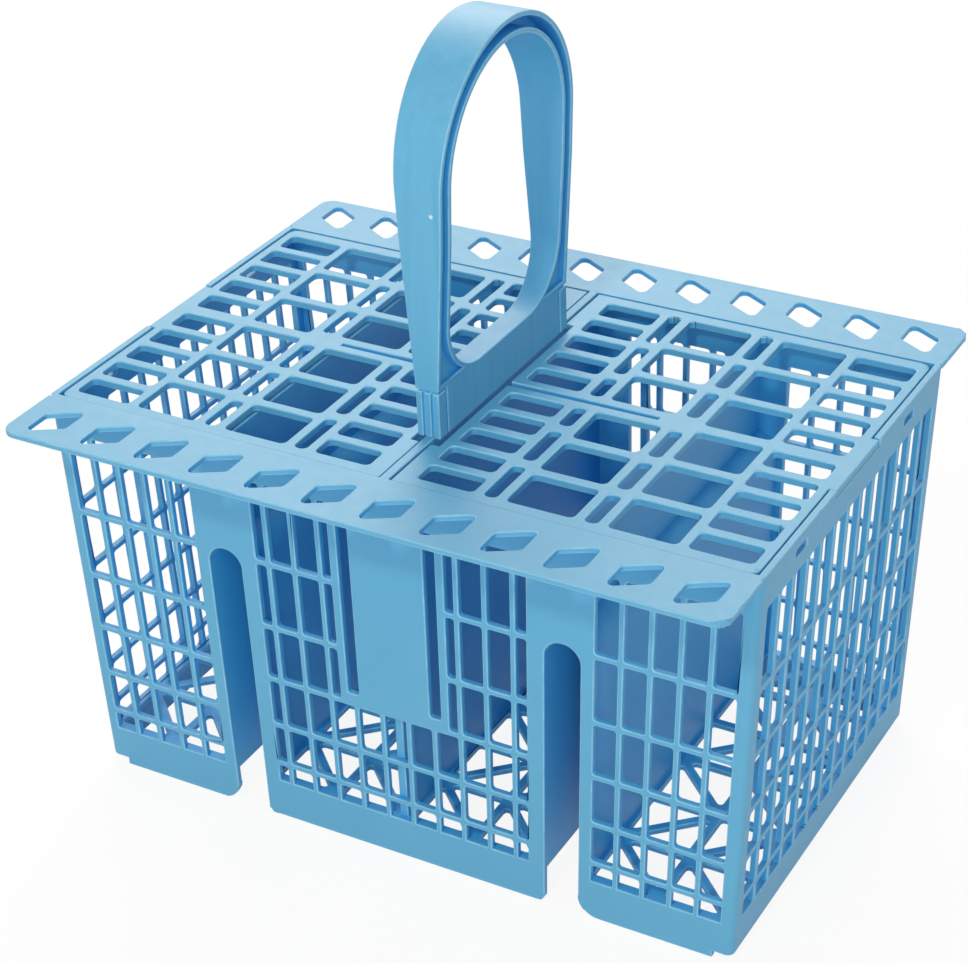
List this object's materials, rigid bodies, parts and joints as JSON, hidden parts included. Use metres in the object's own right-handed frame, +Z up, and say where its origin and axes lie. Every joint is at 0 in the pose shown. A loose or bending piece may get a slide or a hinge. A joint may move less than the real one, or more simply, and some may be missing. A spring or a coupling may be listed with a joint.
{
  "type": "dishwasher cutlery basket",
  "caption": "Blue lattice basket for cutlery in a dishwasher, with hinged grid lids, perforated side flanges, arched channels and an upright carrying handle.",
  "frame": {"origin": "centre of the basket's plan, on the plane it rests on", "axes": "+Z up along the handle, +X along the length of the basket, +Y across it towards the rear wall"},
  "size_m": [0.245, 0.19, 0.261],
  "materials": {
    "body_plastic": "light blue moulded polypropylene, satin",
    "handle_plastic": "light blue moulded polypropylene, satin",
    "lid_plastic": "light blue moulded polypropylene, satin"
  },
  "bodies": {
    "basket": {"basket_body": "body_plastic", "handle": "handle_plastic"},
    "left_lid": {"left_lid": "lid_plastic"},
    "right_lid": {"right_lid": "lid_plastic"}
  },
  "joints": [
    {"name": "right_lid_hinge", "type": "hinge", "parent": "basket", "child": "right_lid", "pos_m": [0.011, 0, 0.13845], "axis": [0, -1, 0], "range_deg": [0, 90]},
    {"name": "left_lid_hinge", "type": "hinge", "parent": "basket", "child": "left_lid", "pos_m": [-0.011, 0, 0.13845], "axis": [0, 1, 0], "range_deg": [0, 90]}
  ]
}
